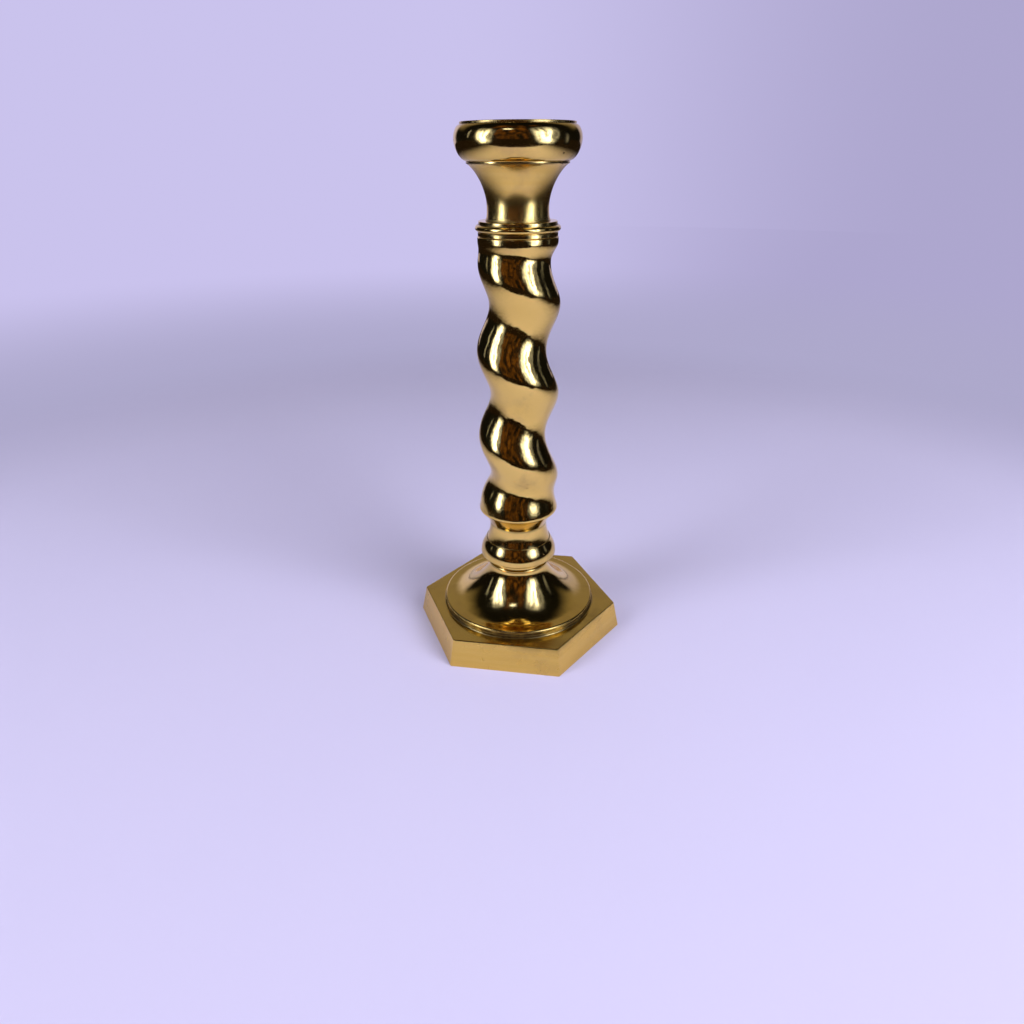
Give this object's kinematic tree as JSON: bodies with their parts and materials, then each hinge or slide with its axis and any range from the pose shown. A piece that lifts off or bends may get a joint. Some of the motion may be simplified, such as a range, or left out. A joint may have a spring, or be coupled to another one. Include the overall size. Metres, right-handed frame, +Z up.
{
  "type": "spiral candlestick",
  "caption": "Polished brass candlestick with a hollow hexagonal foot, a spirally twisted stem and a turned cup that holds a dinner candle and unscrews from its tie rod.",
  "frame": {"origin": "middle of the underside of the foot, on the plane that it stands on", "axes": "+Z up along the stem; two opposite corners of the hexagonal foot lie on +X and -X"},
  "size_m": [0.104, 0.0904, 0.229],
  "materials": {
    "polished_brass": "mirror polished",
    "satin_brass": "satin polished",
    "rod_steel": "drawn steel",
    "plated_steel": "zinc plated"
  },
  "bodies": {
    "stand": {"foot": "satin_brass", "knop": "polished_brass", "stem": "polished_brass", "tie_rod": "rod_steel", "plain_washer": "plated_steel", "spring_washer": "plated_steel", "hex_nut": "plated_steel"},
    "collar_ring": {"collar": "polished_brass"},
    "cup": {"candle_cup": "polished_brass"}
  },
  "joints": [
    {"name": "cup_climb", "type": "slide", "parent": "stand", "child": "collar_ring", "axis": [0, 0, 1], "range_m": [0, 0.01]},
    {"name": "cup_turn", "type": "hinge", "parent": "collar_ring", "child": "cup", "pos_m": [0, 0, 0.1942], "axis": [0, 0, 1], "range_deg": [0, 2880]}
  ],
  "couplings": [
    {"joint": "cup_climb", "follows": "cup_turn", "m_per_rad": 0.00019894}
  ]
}
